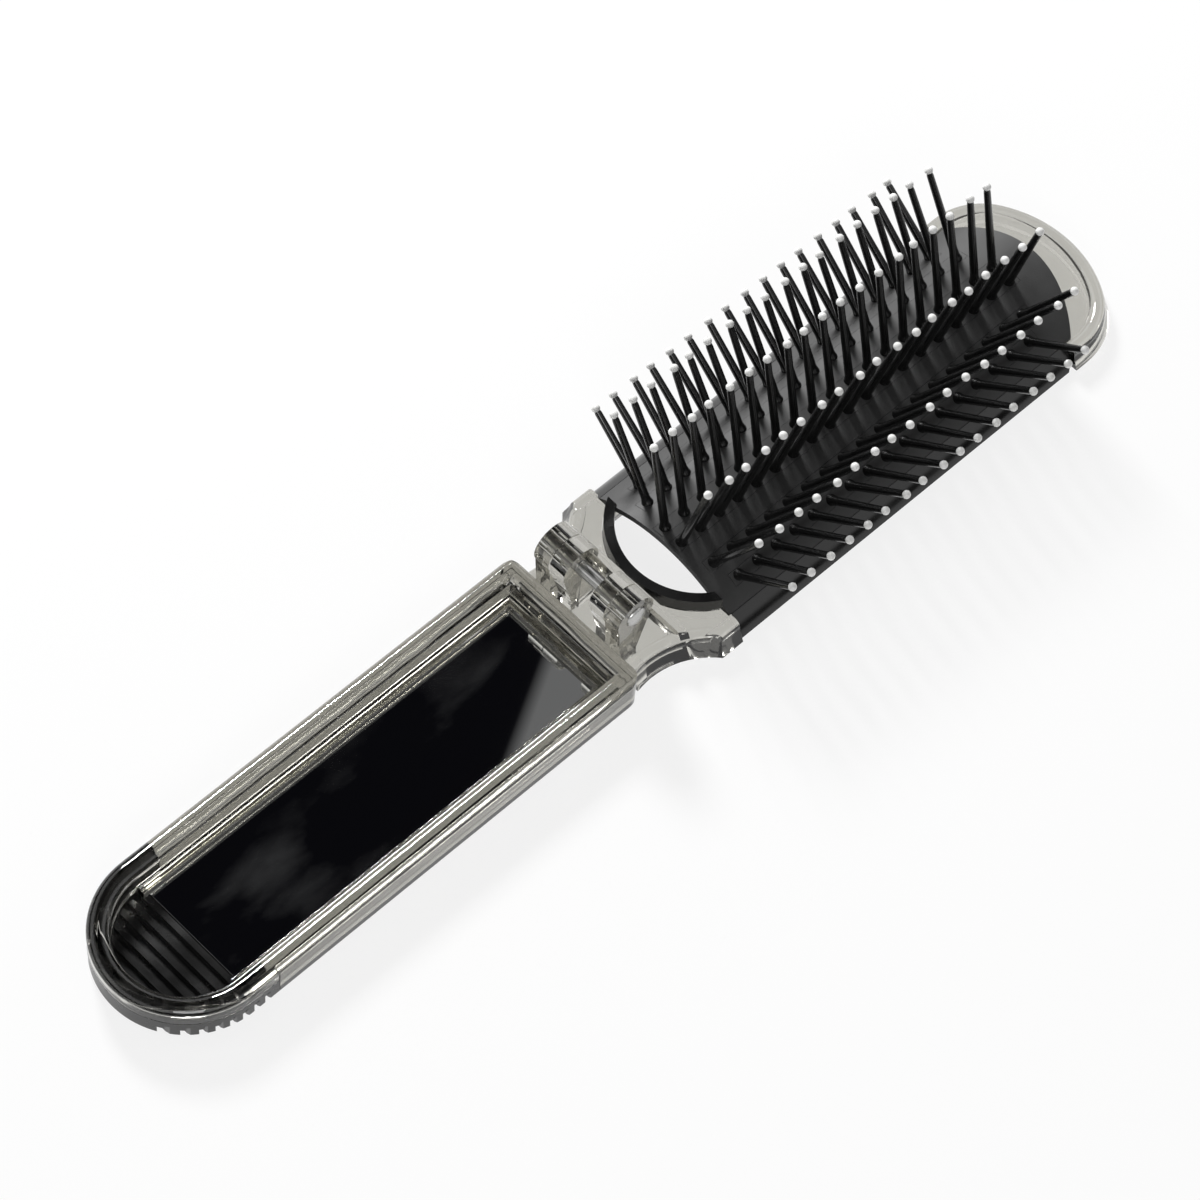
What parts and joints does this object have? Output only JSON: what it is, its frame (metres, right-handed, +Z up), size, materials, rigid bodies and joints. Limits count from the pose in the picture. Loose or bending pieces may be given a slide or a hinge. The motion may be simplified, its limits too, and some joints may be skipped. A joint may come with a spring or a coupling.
{
  "type": "folding hairbrush with mirror",
  "caption": "Pocket hairbrush whose bristle head folds over a mirror set in the clear handle, on a pinned hinge between two neck arms.",
  "frame": {"origin": "on the table under the middle of the open brush's outer box", "axes": "+X along the open brush from the handle to the head, +Y across it, +Z up, the way the bristles and the mirror face"},
  "size_m": [0.2226, 0.0486, 0.0287],
  "materials": {
    "clear_plastic": "clear polished styrene",
    "black_grip": "gloss",
    "adhesive": "double-sided film",
    "mirror": "silvered glass",
    "steel_pin": "satin",
    "black_gloss": "gloss",
    "black_skin": "satin moulded skin",
    "bristle": "polished nylon",
    "ball_tip": "gloss"
  },
  "bodies": {
    "handle": {"handle_tray": "clear_plastic", "handle_rim": "clear_plastic", "thumb_grip": "black_grip", "mirror_adhesive": "adhesive", "mirror_glass": "mirror", "hinge_pin": "steel_pin"},
    "head": {"head_frame": "clear_plastic", "pad_carrier": "black_gloss", "pad_skin": "black_skin", "bristle_row_1": "bristle", "bristle_row_2": "bristle", "bristle_row_3": "bristle", "bristle_row_4": "bristle", "bristle_row_5": "bristle", "bristle_row_6": "bristle", "ball_tips_1": "ball_tip", "ball_tips_2": "ball_tip", "ball_tips_3": "ball_tip", "ball_tips_4": "ball_tip", "ball_tips_5": "ball_tip", "ball_tips_6": "ball_tip"}
  },
  "joints": [
    {"name": "head_fold", "type": "hinge", "parent": "handle", "child": "head", "pos_m": [-0.00595, 0, 0.01557], "axis": [0, -1, 0], "range_deg": [0, 180]}
  ]
}
